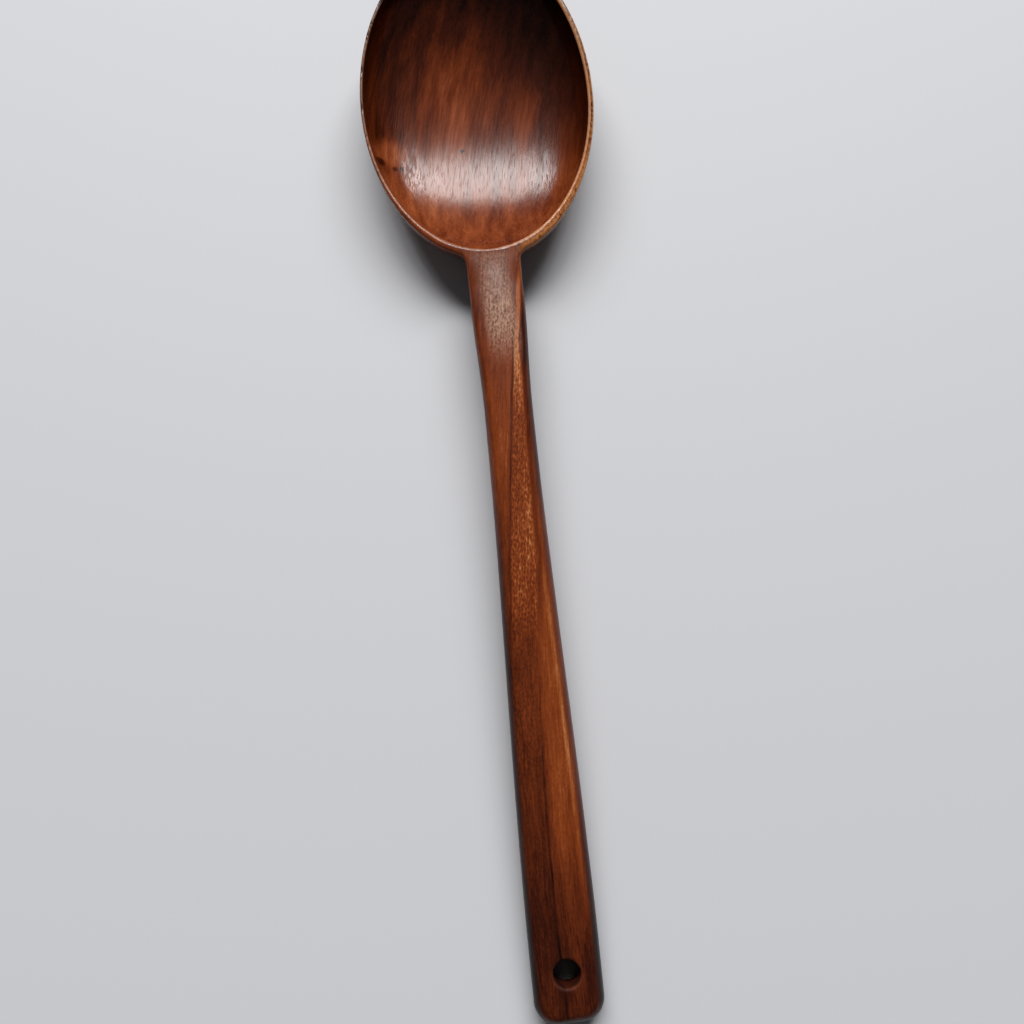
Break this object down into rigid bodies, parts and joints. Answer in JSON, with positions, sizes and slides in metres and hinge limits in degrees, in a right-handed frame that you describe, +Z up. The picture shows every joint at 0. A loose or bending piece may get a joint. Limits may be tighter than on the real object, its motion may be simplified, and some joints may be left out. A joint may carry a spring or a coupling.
{
  "type": "wooden spoon",
  "caption": "Long-handled wooden spoon carved from one piece, with a deep oval bowl, a waisted flat-topped handle and a hanging hole at its end.",
  "frame": {"origin": "under the middle of the spoon's box, on the table that it lies on", "axes": "+Y from the handle's end to the bowl's tip, +X to the right seen from above, +Z up out of the hollow"},
  "size_m": [0.0724, 0.3298, 0.0235],
  "materials": {
    "wood": "oiled satin hardwood, dark red-brown with straight streaks"
  },
  "bodies": {
    "root": {"carved_spoon": "wood"}
  },
  "joints": []
}
